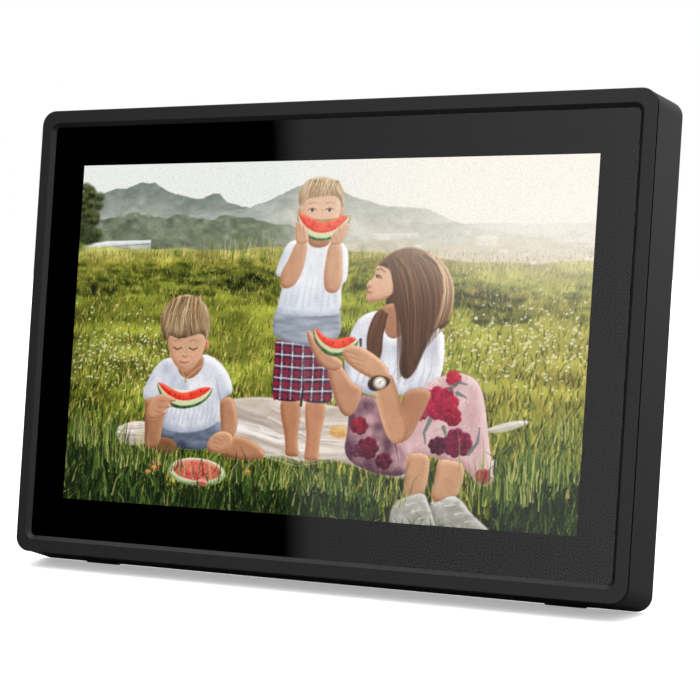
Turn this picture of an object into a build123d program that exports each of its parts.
"""Digital photo frame with a 10.1 inch touch screen, standing on its rear leg.

Millimetres, +Z up, the screen faces -Y and leans back. The origin is the middle of the floor area
that the frame covers, on the table. Depths are counted from the glass towards the back of the case.
"""

import os
from math import atan, cos, degrees, radians, sin

from build123d import *

os.makedirs("parts", exist_ok=True)

# ---------------------------------------------------------------- driving dimensions
LEAN = 8.66  # backward lean of the screen, degrees
STAND_Y = -18.8  # middle of the glass, which centres the standing frame over the origin
STAND_Z = 95.9  # middle of the glass above the table

LIT_W, LIT_H = 216.96, 135.6  # lit area of the screen, 16:10
LIT_RISE = 0.15  # the lit area sits a little above the middle of the case

RIM_W, RIM_H = 257.3, 180.6  # front rim, outside
RIM_CORNER = 6.0
RIM_EDGE = 0.4
LIP = 0.6  # visible side height of the front rim
WINDOW_W, WINDOW_H = 245.2, 167.4  # window at the glass
WINDOW_CORNER = 2.0
STEP = 1.82  # rim face in front of the glass
STEP_SLOPE = 1.52  # width of the sloping wall round the window

GROOVE = 1.5  # parting line between front rim and rear cover
CASE_BACK = 21.58  # depth of the back face
FLARE = 3.5  # the cover grows outwards by this much at its sides and its bottom
WALL = 2.2
BACK_WALL = 2.0
BACK_EDGE = 1.0

GLASS_W, GLASS_H, GLASS_T = 249.0, 171.2, 1.1
TAPE_T = 0.5
TRAY_W, TRAY_H = 229.5, 149.1
TRAY_DEPTH = 4.8  # back of the metal tray
SHEET = 0.4

KEY_X = (-95.0, -80.0, -65.0)  # power, volume down, volume up
KEY_DEPTH = 11.4

HINGE_RISE = 30.0  # leg hinge above the middle of the case
HINGE_OUT = 4.4  # hinge axis behind the back face
LEG_OPEN = 19.0  # leg angle from the back face, degrees
PAD_T = 2.2

WALL_PATTERN = 75.0  # square pattern of the wall mount

# ---------------------------------------------------------------- places derived from them
forward = Vector(0, -cos(radians(LEAN)), sin(radians(LEAN)))
upward = Vector(0, sin(radians(LEAN)), cos(radians(LEAN)))
face = Plane(origin=(0, STAND_Y, STAND_Z), x_dir=(1, 0, 0), z_dir=forward)

COVER_FRONT = LIP + GROOVE - STEP  # depth of the cover's front edge
BACK_INSIDE = CASE_BACK - BACK_WALL
INSIDE_FLARE = FLARE * (BACK_INSIDE - COVER_FRONT) / (CASE_BACK - COVER_FRONT)


def layer(depth):
    """Plane parallel to the glass, x to the right and y up, at a depth behind the glass."""
    return face.offset(-depth)


def spot(x, rise, depth):
    """Place of a point given across, up and behind the middle of the glass."""
    return face.from_local_coords((x, rise, -depth))


def upright(x, rise, depth):
    """Plane square to the upward direction of the glass, x to the right and y towards the back."""
    return Plane(origin=spot(x, rise, depth), x_dir=(1, 0, 0), z_dir=upward)


def side_on(x, rise, depth):
    """Plane facing -X, x of the plane along the depth towards the glass, y up."""
    return Plane(origin=spot(x, rise, depth), x_dir=forward, z_dir=(-1, 0, 0))


front_to_back = Axis(face.origin, -face.z_dir)

# ---------------------------------------------------------------- screws and their places
CORNER_SCREWS = [(sx * 119.5, sy * 80.0) for sx in (-1, 1) for sy in (-1, 1)]
EDGE_SCREWS = [(sx * 50.0, sy * 80.2) for sx in (-1, 1) for sy in (-1, 1)]
CASE_SCREWS = CORNER_SCREWS + EDGE_SCREWS
BOSS_R, BOSS_SPLIT, SCREW_SEAT = 4.0, 9.0, 12.2
SCREW_R, HEAD_R, HEAD_T = 1.3, 2.5, 1.8
CLIP_PLACES = [(sx * 116.0, sy * 64.0) for sx in (-1, 1) for sy in (-1, 1)]
CLIP_HOLES = [(sx * 119.5, sy * 64.0) for sx in (-1, 1) for sy in (-1, 1)]
CLIP_PADS = [(sx * 119.0, sy * 64.0) for sx in (-1, 1) for sy in (-1, 1)]

BOARD_X, BOARD_RISE = -86.5, 2.0
BOARD_W, BOARD_H, BOARD_T = 76.0, 104.0, 1.2
BOARD_DEPTH = 6.6
BOARD_BACK = BOARD_DEPTH + BOARD_T
BOARD_HOLES = [
    (BOARD_X + sx * (BOARD_W / 2 - 4), BOARD_RISE + sy * (BOARD_H / 2 - 4))
    for sx in (-0.72, 1)
    for sy in (-1, 1)
]
JACK_RISE, USB_RISE, CARD_RISE = -36.0, -16.0, 14.0
PORT_X = -129.0  # mouths of the sockets, just inside the cover's outer face

SPEAKER_X, SPEAKER_RISE = 84.0, -72.0
SPEAKER_W, SPEAKER_H, SPEAKER_T = 44.0, 17.0, 8.0

HINGE_DEPTH = CASE_BACK + HINGE_OUT
BARREL_R, PIN_R = 3.6, 1.5
BARREL_HALF = 16.4
EAR_IN, EAR_OUT = 17.0, 27.0
LEG_T = 4.2
hinge_point = spot(0, HINGE_RISE, HINGE_DEPTH)
LEG_LENGTH = hinge_point.Z / cos(radians(LEG_OPEN - LEAN))
leg_out = Vector(0, cos(radians(LEG_OPEN - LEAN)), sin(radians(LEG_OPEN - LEAN)))
leg_plane = Plane(origin=hinge_point, x_dir=(1, 0, 0), z_dir=-leg_out)


# ---------------------------------------------------------------- front bezel
with BuildPart() as front_bezel:
    with BuildSketch(layer(-STEP)):
        RectangleRounded(RIM_W, RIM_H, RIM_CORNER)
    extrude(amount=-LIP)
    fillet(front_bezel.edges().group_by(front_to_back)[0], RIM_EDGE)
    # skirt that slides inside the rear cover
    with BuildSketch(layer(LIP - STEP)):
        RectangleRounded(RIM_W - 2 * WALL - 0.4, RIM_H - 2 * WALL - 0.4, RIM_CORNER - WALL)
    extrude(amount=-8.0)
    # snap hooks along the skirt
    with BuildSketch(layer(4.4)):
        with GridLocations(70, RIM_H - 2 * WALL - 0.4, 3, 2):
            Rectangle(9, 2.8)
        with GridLocations(RIM_W - 2 * WALL - 0.4, 70, 2, 2):
            Rectangle(2.8, 9)
    extrude(amount=-1.4)
    # seat for the glass, open to the back
    with BuildSketch(layer(0)):
        RectangleRounded(GLASS_W + 0.4, GLASS_H + 0.4, 2.2)
    extrude(amount=-(LIP + STEP + 8.0), mode=Mode.SUBTRACT)
    # window with its sloping wall
    with BuildSketch(layer(0)):
        RectangleRounded(WINDOW_W, WINDOW_H, WINDOW_CORNER)
    extrude(amount=STEP, taper=-degrees(atan(STEP_SLOPE / STEP)), mode=Mode.SUBTRACT)
front_bezel.part.label = "front_bezel"

# ---------------------------------------------------------------- cover glass and touch sensor
with BuildPart() as cover_glass:
    with BuildSketch(layer(0)):
        RectangleRounded(GLASS_W, GLASS_H, 2.0)
    extrude(amount=-GLASS_T)
    chamfer(cover_glass.edges().group_by(front_to_back)[-1], 0.2)
cover_glass.part.label = "cover_glass"

with BuildPart() as touch_sensor:
    with BuildSketch(layer(GLASS_T)):
        with Locations((0, LIT_RISE)):
            RectangleRounded(LIT_W + 4, LIT_H + 4, 1.0)
    extrude(amount=-0.3)
touch_sensor.part.label = "touch_sensor"

with BuildPart() as glass_tape:
    with BuildSketch(layer(GLASS_T)):
        RectangleRounded(GLASS_W - 1.5, GLASS_H - 1.5, 1.5)
        RectangleRounded(LIT_W + 8, LIT_H + 8, 1.0, mode=Mode.SUBTRACT)
        with Locations((-(LIT_W / 2 + 6), 30)):
            Rectangle(9, 14, mode=Mode.SUBTRACT)
    extrude(amount=-TAPE_T)
glass_tape.part.label = "glass_tape"

# ---------------------------------------------------------------- LCD stack, front to back
STACK_TOP = GLASS_T + TAPE_T
with BuildPart() as lcd_cell:
    with BuildSketch(layer(STACK_TOP)):
        with Locations((0, LIT_RISE)):
            Rectangle(LIT_W + 9, LIT_H + 9)
    extrude(amount=-0.6)
    # the rear sheet of glass is longer, as a ledge for the driver chips
    with BuildSketch(layer(STACK_TOP + 0.6)):
        Rectangle(LIT_W + 9, TRAY_H - 2 * SHEET - 0.8)
    extrude(amount=-0.6)
lcd_cell.part.label = "lcd_cell"

with BuildPart() as optical_films:
    with BuildSketch(layer(STACK_TOP + 1.2)):
        with Locations((0, 1.5)):
            Rectangle(LIT_W + 7, LIT_H + 6)
    extrude(amount=-0.5)
optical_films.part.label = "optical_films"

with BuildPart() as light_guide:
    with BuildSketch(layer(STACK_TOP + 1.7)):
        with Locations((0, 1.5)):
            Rectangle(LIT_W + 7, LIT_H + 6)
    extrude(amount=-0.9)
light_guide.part.label = "light_guide"

with BuildPart() as reflector:
    with BuildSketch(layer(STACK_TOP + 2.6)):
        with Locations((0, 1.5)):
            Rectangle(LIT_W + 7, LIT_H + 6)
    extrude(amount=-0.2)
reflector.part.label = "reflector"

LED_PITCH = 6.0
with BuildPart() as led_strip:
    with BuildSketch(layer(STACK_TOP + 2.6)):
        with Locations((0, -(LIT_H / 2 + 3.6))):
            Rectangle(LIT_W, 3.0)
    extrude(amount=-0.2)
    with BuildSketch(layer(STACK_TOP + 1.8)):
        with Locations((0, -(LIT_H / 2 + 2.7))):
            with GridLocations(LED_PITCH, 1, 34, 1):
                Rectangle(3.0, 1.0)
    extrude(amount=-0.8)
led_strip.part.label = "led_strip"

with BuildPart() as lcd_tray:
    with BuildSketch(layer(STACK_TOP + 0.2)):
        Rectangle(TRAY_W, TRAY_H)
    extrude(amount=-(TRAY_DEPTH - STACK_TOP - 0.2))
    with BuildSketch(layer(STACK_TOP)):
        Rectangle(TRAY_W - 2 * SHEET, TRAY_H - 2 * SHEET)
    extrude(amount=-(TRAY_DEPTH - STACK_TOP - SHEET), mode=Mode.SUBTRACT)
lcd_tray.part.label = "lcd_tray"

# ---------------------------------------------------------------- mid frame
with BuildPart() as mid_frame:
    with BuildSketch(layer(STACK_TOP)):
        RectangleRounded(GLASS_W, GLASS_H, 2.0)
        Rectangle(TRAY_W + 0.6, TRAY_H + 0.6, mode=Mode.SUBTRACT)
        with Locations((-(TRAY_W / 2 + 1.2), 30)):
            Rectangle(3.4, 14, mode=Mode.SUBTRACT)
    extrude(amount=-2.4)
    # lower half of the screw bosses
    with BuildSketch(layer(STACK_TOP + 2.4)):
        with Locations(*CASE_SCREWS):
            Circle(BOSS_R)
    extrude(amount=-(BOSS_SPLIT - STACK_TOP - 2.4))
    # pads that bring the clips level with the back of the tray
    with BuildSketch(layer(STACK_TOP + 2.4)):
        with Locations(*CLIP_PADS):
            Rectangle(7, 9)
    extrude(amount=-(TRAY_DEPTH - STACK_TOP - 2.4))
    with BuildSketch(layer(BOSS_SPLIT)):
        with Locations(*CASE_SCREWS):
            Circle(SCREW_R)
    extrude(amount=6.0, mode=Mode.SUBTRACT)
    with BuildSketch(layer(TRAY_DEPTH)):
        with Locations(*CLIP_HOLES):
            Circle(1.0)
    extrude(amount=2.6, mode=Mode.SUBTRACT)
mid_frame.part.label = "mid_frame"

with BuildPart() as panel_clips:
    with BuildSketch(layer(TRAY_DEPTH)):
        with Locations(*CLIP_PLACES):
            RectangleRounded(13, 8, 1.5)
        with Locations(*CLIP_HOLES):
            Circle(1.2, mode=Mode.SUBTRACT)
    extrude(amount=-0.8)
panel_clips.part.label = "panel_clips"

with BuildPart() as clip_screws:
    with BuildSketch(layer(TRAY_DEPTH + 0.8)):
        with Locations(*CLIP_HOLES):
            Circle(1.9)
    extrude(amount=-1.0)
    with BuildSketch(layer(TRAY_DEPTH + 0.8)):
        with Locations(*CLIP_HOLES):
            Circle(0.95)
    extrude(amount=3.0)
clip_screws.part.label = "clip_screws"

# ---------------------------------------------------------------- main board
with BuildPart() as main_board:
    with BuildSketch(layer(BOARD_DEPTH)):
        with Locations((BOARD_X, BOARD_RISE)):
            RectangleRounded(BOARD_W, BOARD_H, 1.5)
        with Locations(*BOARD_HOLES):
            Circle(1.4, mode=Mode.SUBTRACT)
    extrude(amount=-BOARD_T)
main_board.part.label = "main_board"

with BuildPart() as board_standoffs:
    with BuildSketch(layer(TRAY_DEPTH)):
        with Locations(*BOARD_HOLES):
            RegularPolygon(2.6, 6)
            Circle(1.1, mode=Mode.SUBTRACT)
    extrude(amount=-(BOARD_DEPTH - TRAY_DEPTH))
board_standoffs.part.label = "board_standoffs"

with BuildPart() as board_screws:
    with BuildSketch(layer(BOARD_BACK)):
        with Locations(*BOARD_HOLES):
            Circle(2.3)
    extrude(amount=-1.5)
    with BuildSketch(layer(BOARD_BACK)):
        with Locations(*BOARD_HOLES):
            Circle(1.05)
    extrude(amount=2.6)
board_screws.part.label = "board_screws"

with BuildPart() as processor:
    with BuildSketch(layer(BOARD_BACK)):
        with Locations((-84, 8)):
            RectangleRounded(15, 15, 0.4)
    extrude(amount=-1.3)
    chamfer(processor.edges().group_by(front_to_back)[-1], 0.3)
processor.part.label = "processor"

with BuildPart() as memory_chips:
    with BuildSketch(layer(BOARD_BACK)):
        with Locations((-64, 14), (-64, 0)):
            Rectangle(9, 11)
    extrude(amount=-1.1)
memory_chips.part.label = "memory_chips"

with BuildPart() as shield_can:
    with BuildSketch(layer(BOARD_BACK)):
        with Locations((-66, 36)):
            RectangleRounded(24, 17, 1.0)
    extrude(amount=-2.6)
    with BuildSketch(layer(BOARD_BACK)):
        with Locations((-66, 36)):
            RectangleRounded(23.4, 16.4, 0.7)
    extrude(amount=-2.3, mode=Mode.SUBTRACT)
shield_can.part.label = "shield_can"

with BuildPart() as wifi_module:
    with BuildSketch(layer(BOARD_BACK)):
        with Locations((-66, 36)):
            Rectangle(15, 12)
    extrude(amount=-1.9)
wifi_module.part.label = "wifi_module"

with BuildPart() as capacitors:
    with BuildSketch(layer(BOARD_BACK)):
        with Locations((-84, -30), (-76, -30), (-68, -30)):
            RectangleRounded(6.6, 6.6, 1.0)
    extrude(amount=-0.8)
    with BuildSketch(layer(BOARD_BACK + 0.8)):
        with Locations((-84, -30), (-76, -30), (-68, -30)):
            Circle(3.15)
    extrude(amount=-5.0)
    fillet(capacitors.edges().group_by(front_to_back)[-1], 0.5)
capacitors.part.label = "capacitors"

with BuildPart() as power_coils:
    with BuildSketch(layer(BOARD_BACK)):
        with Locations((-92, -16), (-80, -16)):
            RectangleRounded(7, 7, 1.2)
    extrude(amount=-3.0)
    fillet(power_coils.edges().group_by(front_to_back)[-1], 0.6)
power_coils.part.label = "power_coils"

with BuildPart() as clock_cell:
    with BuildSketch(layer(BOARD_BACK)):
        with Locations((-90, 38)):
            Circle(6.25)
    extrude(amount=-2.0)
    fillet(clock_cell.edges().group_by(front_to_back)[-1], 0.4)
clock_cell.part.label = "clock_cell"

DISPLAY_RISE, TOUCH_RISE = -8.0, 30.0
with BuildPart() as ribbon_sockets:
    with BuildSketch(layer(BOARD_BACK)):
        with Locations((-54.5, DISPLAY_RISE - 7)):
            Rectangle(4.5, 20)
    extrude(amount=-1.6)
    with BuildSketch(layer(BOARD_DEPTH)):
        with Locations((-107, TOUCH_RISE)):
            Rectangle(4.5, 13)
    extrude(amount=0.9)
ribbon_sockets.part.label = "ribbon_sockets"

# The ribbons are bent strips, drawn from above and given their width along the height.
RIBBON_T = 0.3
with BuildPart() as display_ribbon:
    with BuildSketch(upright(0, DISPLAY_RISE - 16, 0)):
        with BuildLine():
            FilletPolyline(
                (-30.0, TRAY_DEPTH + 0.15),
                (-42.0, TRAY_DEPTH + 0.15),
                (-46.0, BOARD_BACK + 1.75),
                (-53.0, BOARD_BACK + 1.75),
                radius=1.2,
            )
        trace(line_width=RIBBON_T)
    extrude(amount=18.0)
display_ribbon.part.label = "display_ribbon"

with BuildPart() as touch_ribbon:
    with BuildSketch(upright(0, TOUCH_RISE - 5.5, 0)):
        with BuildLine():
            FilletPolyline(
                (-(LIT_W / 2 + 2.6), GLASS_T + 0.3),
                (-(TRAY_W / 2 + 1.3), GLASS_T + 0.3),
                (-(TRAY_W / 2 + 1.3), 5.4),
                (-107.0, 5.4),
                radius=0.6,
            )
        trace(line_width=0.2)
    extrude(amount=11.0)
touch_ribbon.part.label = "touch_ribbon"

# ---------------------------------------------------------------- sockets on the left side
PORT_AXIS = BOARD_BACK + 4.6
with BuildPart() as dc_jack:
    with BuildSketch(side_on(PORT_X, JACK_RISE, PORT_AXIS)):
        RectangleRounded(9.2, 9.2, 1.0)
        Circle(2.85, mode=Mode.SUBTRACT)
    extrude(amount=-10.0)
    with BuildSketch(side_on(PORT_X + 10.0, JACK_RISE, PORT_AXIS)):
        Rectangle(9.2, 9.2)
    extrude(amount=-3.0)
dc_jack.part.label = "dc_jack"

with BuildPart() as dc_pin:
    with BuildSketch(side_on(PORT_X + 10.0, JACK_RISE, PORT_AXIS)):
        Circle(1.0)
    extrude(amount=8.6)
    fillet(dc_pin.edges().sort_by(Axis.X)[0], 0.4)
dc_pin.part.label = "dc_pin"

with BuildPart() as usb_port:
    with BuildSketch(side_on(PORT_X, USB_RISE, BOARD_BACK + 3.6)):
        RectangleRounded(7.0, 14.4, 0.6)
        RectangleRounded(5.6, 13.0, 0.4, mode=Mode.SUBTRACT)
    extrude(amount=-12.0)
    with BuildSketch(side_on(PORT_X + 12.0, USB_RISE, BOARD_BACK + 3.6)):
        Rectangle(7.0, 14.4)
    extrude(amount=-2.0)
usb_port.part.label = "usb_port"

with BuildPart() as usb_tongue:
    with BuildSketch(side_on(PORT_X + 12.0, USB_RISE, BOARD_BACK + 2.3)):
        Rectangle(1.8, 11.0)
    extrude(amount=10.5)
usb_tongue.part.label = "usb_tongue"

with BuildPart() as card_slot:
    with BuildSketch(side_on(PORT_X + 1.0, CARD_RISE, BOARD_BACK + 1.6)):
        Rectangle(3.2, 28.0)
        Rectangle(2.3, 24.6, mode=Mode.SUBTRACT)
    extrude(amount=-22.0)
    with BuildSketch(side_on(PORT_X + 23.0, CARD_RISE, BOARD_BACK + 1.6)):
        Rectangle(3.2, 28.0)
    extrude(amount=-3.0)
card_slot.part.label = "card_slot"

# ---------------------------------------------------------------- speakers, one loop for both sides
speakers = []
for side, name in ((-1, "left"), (1, "right")):
    place = (side * SPEAKER_X, SPEAKER_RISE)
    with BuildPart() as speaker_box:
        with BuildSketch(layer(BACK_INSIDE - SPEAKER_T)):
            with Locations(place):
                RectangleRounded(SPEAKER_W, SPEAKER_H, 3.0)
        extrude(amount=-SPEAKER_T)
        fillet(speaker_box.edges().group_by(front_to_back)[0], 1.0)
        with BuildSketch(layer(BACK_INSIDE)):
            with Locations(place):
                SlotOverall(SPEAKER_W - 8, SPEAKER_H - 4)
        extrude(amount=SPEAKER_T - 1.5, mode=Mode.SUBTRACT)
    speaker_box.part.label = f"speaker_{name}"
    with BuildPart() as speaker_cone:
        with BuildSketch(layer(BACK_INSIDE - 1.0)):
            with Locations(place):
                SlotOverall(SPEAKER_W - 8, SPEAKER_H - 4)
        extrude(amount=0.8)
        with BuildSketch(layer(BACK_INSIDE - 1.8)):
            with Locations(place):
                SlotOverall(SPEAKER_W - 20, SPEAKER_H - 8)
        extrude(amount=3.0)
    speaker_cone.part.label = f"speaker_cone_{name}"
    speakers += [speaker_box, speaker_cone]

LEAD_R = 0.7
with BuildPart() as speaker_leads:
    for start, middle, end in (
        ((-64, SPEAKER_RISE + 9.3, 15.0), (-64, -56, 15.0), (-64, -44, 9.0)),
        ((64, SPEAKER_RISE + 9.3, 15.0), (48, -50, 10.5), (-46, -50, 10.5)),
    ):
        points = [spot(*start), spot(*middle), spot(*end)]
        with BuildLine() as route:
            FilletPolyline(*points, radius=4)
        with BuildSketch(Plane(origin=route.line @ 0, z_dir=route.line % 0)):
            Circle(LEAD_R)
        sweep()
speaker_leads.part.label = "speaker_leads"

# ---------------------------------------------------------------- radio antenna and its lead
with BuildPart() as wifi_antenna:
    with BuildSketch(layer(BACK_INSIDE)):
        with Locations((-20, 78)):
            Rectangle(30, 8)
    extrude(amount=0.6)
wifi_antenna.part.label = "wifi_antenna"

with BuildPart() as antenna_lead:
    with BuildLine() as route:
        FilletPolyline(
            spot(-66, 46, 8.8),
            spot(-66, 58, 12.5),
            spot(-52, 70, 18.0),
            spot(-35.2, 77, 18.6),
            radius=5,
        )
    with BuildSketch(Plane(origin=route.line @ 0, z_dir=route.line % 0)):
        Circle(0.6)
    sweep()
antenna_lead.part.label = "antenna_lead"

# ---------------------------------------------------------------- keys on the top edge
KEY_W, KEY_D = 12.0, 4.4
FLANGE_TOP = 87.2
SWITCH_TOP = 84.5
BOARD_TOP = 81.3
KEY_MIDDLE = sum(KEY_X) / len(KEY_X)

keys = []
for x, name in zip(KEY_X, ("power", "volume_down", "volume_up")):
    with BuildPart() as key_cap:
        with BuildSketch(upright(x, FLANGE_TOP, KEY_DEPTH)):
            SlotOverall(KEY_W, KEY_D)
        extrude(amount=RIM_H / 2 + 1.2 - FLANGE_TOP)
        fillet(key_cap.edges().group_by(Axis(face.origin, face.y_dir))[-1], 0.35)
        with BuildSketch(upright(x, FLANGE_TOP, KEY_DEPTH)):
            RectangleRounded(KEY_W + 2.0, KEY_D + 1.6, 1.0)
        extrude(amount=-1.0)
        with BuildSketch(upright(x, FLANGE_TOP - 1.0, KEY_DEPTH)):
            Circle(1.6)
        extrude(amount=-0.9)
    key_cap.part.label = f"{name}_button"
    with BuildPart() as plunger:
        with BuildSketch(upright(x, FLANGE_TOP - 1.9, KEY_DEPTH)):
            Circle(1.3)
        extrude(amount=-1.6)
    plunger.part.label = f"{name}_plunger"
    keys += [key_cap, plunger]

with BuildPart() as key_board:
    with BuildSketch(upright(KEY_MIDDLE, BOARD_TOP, KEY_DEPTH)):
        Rectangle(46, 9)
    extrude(amount=-1.2)
key_board.part.label = "key_board"

with BuildPart() as key_switches:
    for x in KEY_X:
        with BuildSketch(upright(x, BOARD_TOP, KEY_DEPTH)):
            RectangleRounded(6.2, 5.0, 0.4)
        extrude(amount=SWITCH_TOP - BOARD_TOP)
        with BuildSketch(upright(x, SWITCH_TOP, KEY_DEPTH)):
            Circle(1.45)
        extrude(amount=-2.2, mode=Mode.SUBTRACT)
key_switches.part.label = "key_switches"

# ---------------------------------------------------------------- rear cover
INSERT_R, INSERT_LENGTH, INSERT_THREAD_R = 3.0, 6.0, 2.0
EAR_SCREWS = [(sx * 22.0, HINGE_RISE + dy) for sx in (-1, 1) for dy in (-10.0, 8.0)]
FOOT_W, FOOT_D, FOOT_T = 16.0, 2.4, 1.8
foot_y = spot(0, -(RIM_H / 2 + FLARE), CASE_BACK).Y - 0.85

with BuildPart() as rear_cover:
    with BuildSketch(layer(COVER_FRONT)):
        RectangleRounded(RIM_W, RIM_H, RIM_CORNER)
    with BuildSketch(layer(CASE_BACK)):
        with Locations((0, -FLARE / 2)):
            RectangleRounded(RIM_W + 2 * FLARE, RIM_H + FLARE, RIM_CORNER)
    loft(ruled=True)
    fillet(rear_cover.edges().group_by(front_to_back)[-1], BACK_EDGE)
    with BuildSketch(layer(COVER_FRONT)):
        RectangleRounded(RIM_W - 2 * WALL, RIM_H - 2 * WALL, RIM_CORNER - WALL)
    with BuildSketch(layer(BACK_INSIDE)):
        inside_w, inside_h = RIM_W + 2 * (INSIDE_FLARE - WALL), RIM_H + INSIDE_FLARE - 2 * WALL
        with Locations((0, -INSIDE_FLARE / 2)):
            RectangleRounded(inside_w, inside_h, RIM_CORNER - WALL)
    loft(ruled=True, mode=Mode.SUBTRACT)
    # catches for the bezel's snap hooks
    with BuildSketch(layer(4.0)):
        with GridLocations(70, RIM_H - 2 * WALL, 3, 2):
            Rectangle(10.5, 3.2)
        with GridLocations(RIM_W - 2 * WALL, 70, 2, 2):
            Rectangle(3.2, 10.5)
    extrude(amount=-2.2, mode=Mode.SUBTRACT)
    # screw bosses, insert bosses and the rests of the key board
    with BuildSketch(layer(BOSS_SPLIT)):
        with Locations(*CASE_SCREWS):
            Circle(BOSS_R)
    extrude(amount=-(BACK_INSIDE - BOSS_SPLIT))
    with BuildSketch(layer(BACK_INSIDE - 5.0)):
        with GridLocations(WALL_PATTERN, WALL_PATTERN, 2, 2):
            Circle(INSERT_R + 2.2)
    extrude(amount=-5.0)
    with BuildSketch(layer(6.5)):
        with Locations((KEY_MIDDLE - 21, BOARD_TOP - 4.2), (KEY_MIDDLE + 21, BOARD_TOP - 4.2)):
            Rectangle(2.4, 6.0)
    extrude(amount=-(BACK_INSIDE - 6.5))
    # screw holes with deep head recesses
    with BuildSketch(layer(CASE_BACK)):
        with Locations(*CASE_SCREWS):
            Circle(HEAD_R + 0.3)
    extrude(amount=CASE_BACK - SCREW_SEAT, mode=Mode.SUBTRACT)
    with BuildSketch(layer(SCREW_SEAT)):
        with Locations(*CASE_SCREWS):
            Circle(SCREW_R + 0.2)
    extrude(amount=SCREW_SEAT - BOSS_SPLIT, mode=Mode.SUBTRACT)
    with BuildSketch(layer(CASE_BACK)):
        with GridLocations(WALL_PATTERN, WALL_PATTERN, 2, 2):
            Circle(INSERT_R)
        with Locations(*EAR_SCREWS):
            Circle(1.7)
    extrude(amount=INSERT_LENGTH, mode=Mode.SUBTRACT)
    # vents along the top, speaker slots low on both sides, keyholes to hang the frame
    with BuildSketch(layer(CASE_BACK)):
        with Locations((0, 62)):
            with GridLocations(5.0, 1, 25, 1):
                SlotOverall(14, 2.0, rotation=90)
        for side in (-1, 1):
            with Locations((side * SPEAKER_X, SPEAKER_RISE)):
                with GridLocations(3.4, 1, 9, 1):
                    SlotOverall(10, 1.5, rotation=90)
            with Locations((side * 75, 22)):
                Circle(4.2)
            with Locations((side * 75, 26.5)):
                SlotOverall(12.5, 3.8, rotation=90)
    extrude(amount=BACK_WALL, mode=Mode.SUBTRACT)
    # mouths of the sockets in the left side
    with BuildSketch(side_on(-(RIM_W / 2 + FLARE + 1), JACK_RISE, PORT_AXIS)):
        RectangleRounded(9.8, 9.8, 1.2)
    extrude(amount=-6.5, mode=Mode.SUBTRACT)
    with BuildSketch(side_on(-(RIM_W / 2 + FLARE + 1), USB_RISE, BOARD_BACK + 3.6)):
        RectangleRounded(7.6, 15.0, 0.8)
    extrude(amount=-6.5, mode=Mode.SUBTRACT)
    with BuildSketch(side_on(-(RIM_W / 2 + FLARE + 1), CARD_RISE, BOARD_BACK + 1.6)):
        RectangleRounded(4.0, 28.8, 0.8)
    extrude(amount=-6.5, mode=Mode.SUBTRACT)
    # key slots in the top edge
    for x in KEY_X:
        with BuildSketch(upright(x, RIM_H / 2 + 1, KEY_DEPTH)):
            SlotOverall(KEY_W + 0.6, KEY_D + 0.6)
        extrude(amount=-6.0, mode=Mode.SUBTRACT)
    # seats of the rubber feet in the bottom rear edge
    with BuildSketch(Plane.XY):
        with Locations((-100, foot_y), (100, foot_y)):
            RectangleRounded(FOOT_W, FOOT_D, 1.0)
    extrude(amount=FOOT_T, mode=Mode.SUBTRACT)
rear_cover.part.label = "rear_cover"

with BuildPart() as feet:
    with BuildSketch(Plane.XY):
        with Locations((-100, foot_y), (100, foot_y)):
            RectangleRounded(FOOT_W, FOOT_D, 1.0)
    extrude(amount=FOOT_T)
feet.part.label = "feet"

with BuildPart() as mount_inserts:
    with BuildSketch(layer(CASE_BACK - 0.2)):
        with GridLocations(WALL_PATTERN, WALL_PATTERN, 2, 2):
            Circle(INSERT_R)
            Circle(INSERT_THREAD_R, mode=Mode.SUBTRACT)
    extrude(amount=INSERT_LENGTH - 0.4)
mount_inserts.part.label = "mount_inserts"

with BuildPart() as case_screws:
    with BuildSketch(layer(SCREW_SEAT)):
        with Locations(*CASE_SCREWS):
            Circle(HEAD_R)
    extrude(amount=-HEAD_T)
    fillet(case_screws.edges().group_by(front_to_back)[-1], 0.5)
    with BuildSketch(layer(SCREW_SEAT + HEAD_T)):
        with Locations(*CASE_SCREWS):
            Rectangle(2.8, 0.6)
            Rectangle(0.6, 2.8)
    extrude(amount=1.0, mode=Mode.SUBTRACT)
    with BuildSketch(layer(SCREW_SEAT)):
        with Locations(*CASE_SCREWS):
            Circle(SCREW_R)
    extrude(amount=8.0)
case_screws.part.label = "case_screws"

# ---------------------------------------------------------------- hinge of the rear leg
PLATE_T = 1.2
with BuildPart() as hinge_plate:
    with BuildSketch(layer(BACK_INSIDE)):
        with Locations((0, HINGE_RISE - 28)):
            RectangleRounded(60, 92, 4.0)
        with Locations(*EAR_SCREWS):
            Circle(1.5, mode=Mode.SUBTRACT)
    extrude(amount=PLATE_T)
hinge_plate.part.label = "hinge_plate"

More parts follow.
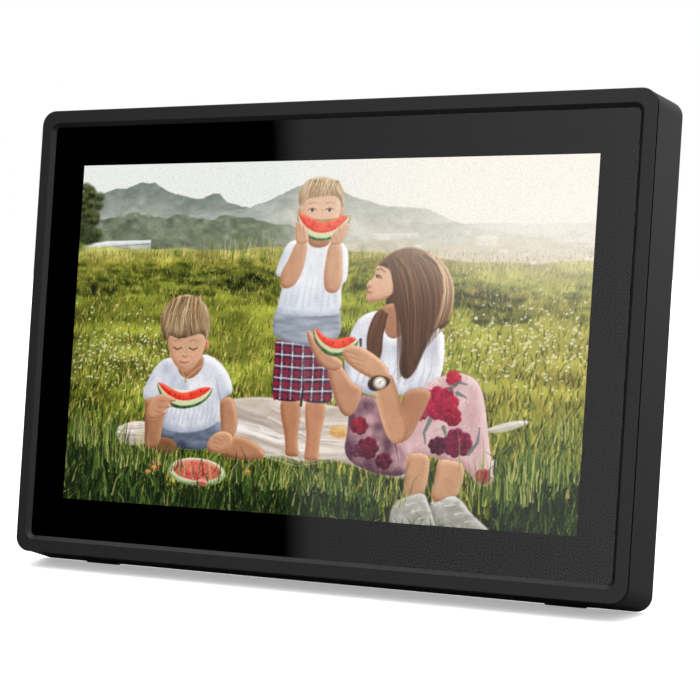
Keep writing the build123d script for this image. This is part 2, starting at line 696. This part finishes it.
BASE_T = 2.0
with BuildPart() as hinge_base:
    with BuildSketch(layer(CASE_BACK)):
        with Locations((0, HINGE_RISE - 1)):
            RectangleRounded(2 * EAR_OUT + 2, 26, 4.0)
        with Locations((0, HINGE_RISE - 8)):
            Rectangle(2 * EAR_IN, 26, mode=Mode.SUBTRACT)
    extrude(amount=-BASE_T)
    # two ears that carry the pin
    for side in (-1, 1):
        ear_side = Plane(
            origin=spot(side * EAR_IN, HINGE_RISE, HINGE_DEPTH), x_dir=forward, z_dir=(-side, 0, 0)
        )
        with BuildSketch(ear_side):
            Circle(BARREL_R)
            with Locations((HINGE_OUT / 2, 0)):
                Rectangle(HINGE_OUT, 2 * BARREL_R)
            Circle(PIN_R, mode=Mode.SUBTRACT)
        extrude(amount=EAR_IN - EAR_OUT)
    # countersunk screw holes
    with BuildSketch(layer(CASE_BACK + BASE_T)):
        with Locations(*EAR_SCREWS):
            Circle(1.7)
    extrude(amount=BASE_T, mode=Mode.SUBTRACT)
    with BuildSketch(layer(CASE_BACK + BASE_T)):
        with Locations(*EAR_SCREWS):
            Circle(3.0)
    extrude(amount=1.3, taper=45, mode=Mode.SUBTRACT)
hinge_base.part.label = "hinge_base"

with BuildPart() as hinge_screws:
    with BuildSketch(layer(CASE_BACK + BASE_T - 0.1)):
        with Locations(*EAR_SCREWS):
            Circle(2.85)
    extrude(amount=1.35, taper=45)
    with BuildSketch(layer(CASE_BACK + BASE_T - 0.1)):
        with Locations(*EAR_SCREWS):
            Circle(1.5)
    extrude(amount=6.2)
    with BuildSketch(layer(CASE_BACK + BASE_T - 0.1)):
        with Locations(*EAR_SCREWS):
            Rectangle(2.8, 0.6)
            Rectangle(0.6, 2.8)
    extrude(amount=0.9, mode=Mode.SUBTRACT)
hinge_screws.part.label = "hinge_screws"

with BuildPart() as hinge_pin:
    with BuildSketch(Plane(origin=spot(-EAR_OUT, HINGE_RISE, HINGE_DEPTH), z_dir=(1, 0, 0))):
        Circle(PIN_R)
    extrude(amount=2 * EAR_OUT)
    chamfer(hinge_pin.edges().filter_by(GeomType.CIRCLE), 0.3)
hinge_pin.part.label = "hinge_pin"

WASHER_T = 0.4
with BuildPart() as hinge_washers:
    for side in (-1, 1):
        x = side * (BARREL_HALF + EAR_IN) / 2 - WASHER_T / 2
        with BuildSketch(Plane(origin=spot(x, HINGE_RISE, HINGE_DEPTH), z_dir=(1, 0, 0))):
            Circle(BARREL_R - 0.3)
            Circle(PIN_R + 0.05, mode=Mode.SUBTRACT)
        extrude(amount=WASHER_T)
hinge_washers.part.label = "hinge_washers"

# ---------------------------------------------------------------- rear leg
NECK = 17.0
LEG_TOP_HALF, LEG_FOOT_HALF = 23.0, 30.0
LEG_INNER = leg_plane.offset(BARREL_R)
LEG_OUTER = leg_plane.offset(BARREL_R - LEG_T)


def leg_outline(inset):
    """Outline of the leg below its hinge barrel, drawn in the plane of the leg."""
    with BuildLine() as line:
        FilletPolyline(
            (BARREL_HALF - inset, -inset),
            (BARREL_HALF - inset, -NECK),
            (LEG_TOP_HALF - inset, -NECK - 9),
            (LEG_FOOT_HALF - inset, -LEG_LENGTH - 4 + 2 * inset),
            (inset - LEG_FOOT_HALF, -LEG_LENGTH - 4 + 2 * inset),
            (inset - LEG_TOP_HALF, -NECK - 9),
            (inset - BARREL_HALF, -NECK),
            (inset - BARREL_HALF, -inset),
            radius=1.5,
            close=True,
        )
    return line.line


with BuildPart() as stand_leg:
    with BuildSketch(LEG_INNER):
        add(leg_outline(0))
        make_face()
    extrude(amount=-LEG_T)
    split(bisect_by=Plane.XY.offset(PAD_T), keep=Keep.TOP)
    with BuildSketch(Plane(origin=hinge_point - Vector(BARREL_HALF, 0, 0), z_dir=(1, 0, 0))):
        Circle(BARREL_R)
    extrude(amount=2 * BARREL_HALF)
    # shallow pan in the outer face, with three stiffening ribs left standing
    with BuildSketch(LEG_OUTER):
        with BuildLine():
            FilletPolyline(
                (LEG_TOP_HALF - 7, -NECK - 14),
                (LEG_FOOT_HALF - 6, -LEG_LENGTH + 16),
                (6 - LEG_FOOT_HALF, -LEG_LENGTH + 16),
                (7 - LEG_TOP_HALF, -NECK - 14),
                radius=3.0,
                close=True,
            )
        make_face()
        with Locations((0, -NECK - 50)):
            with GridLocations(12, 1, 3, 1):
                Rectangle(1.6, 90, mode=Mode.SUBTRACT)
    extrude(amount=1.4, mode=Mode.SUBTRACT)
    # finger pull near the foot
    with BuildSketch(LEG_OUTER):
        with Locations((0, -LEG_LENGTH + 9)):
            SlotOverall(26, 6)
    extrude(amount=1.6, mode=Mode.SUBTRACT)
    with BuildSketch(Plane(origin=hinge_point - Vector(BARREL_HALF, 0, 0), z_dir=(1, 0, 0))):
        Circle(PIN_R + 0.05)
    extrude(amount=2 * BARREL_HALF, mode=Mode.SUBTRACT)
stand_leg.part.label = "stand_leg"

with BuildPart() as leg_pad:
    with BuildSketch(LEG_INNER):
        add(leg_outline(0))
        make_face()
    extrude(amount=-LEG_T)
    split(bisect_by=Plane.XY.offset(PAD_T), keep=Keep.BOTTOM)
    split(bisect_by=Plane.XY, keep=Keep.TOP)
leg_pad.part.label = "leg_pad"

# ---------------------------------------------------------------- one file for each piece
pieces = [
    front_bezel,
    cover_glass,
    touch_sensor,
    glass_tape,
    lcd_cell,
    optical_films,
    light_guide,
    reflector,
    led_strip,
    lcd_tray,
    mid_frame,
    panel_clips,
    clip_screws,
    main_board,
    board_standoffs,
    board_screws,
    processor,
    memory_chips,
    shield_can,
    wifi_module,
    capacitors,
    power_coils,
    clock_cell,
    ribbon_sockets,
    display_ribbon,
    touch_ribbon,
    dc_jack,
    dc_pin,
    usb_port,
    usb_tongue,
    card_slot,
    *speakers,
    speaker_leads,
    wifi_antenna,
    antenna_lead,
    *keys,
    key_board,
    key_switches,
    rear_cover,
    feet,
    mount_inserts,
    case_screws,
    hinge_plate,
    hinge_base,
    hinge_screws,
    hinge_pin,
    hinge_washers,
    stand_leg,
    leg_pad,
]
for piece in pieces:
    export_step(piece.part, f"parts/{piece.part.label}.step")
print("nodes", len(pieces), "leg length", round(LEG_LENGTH, 2))
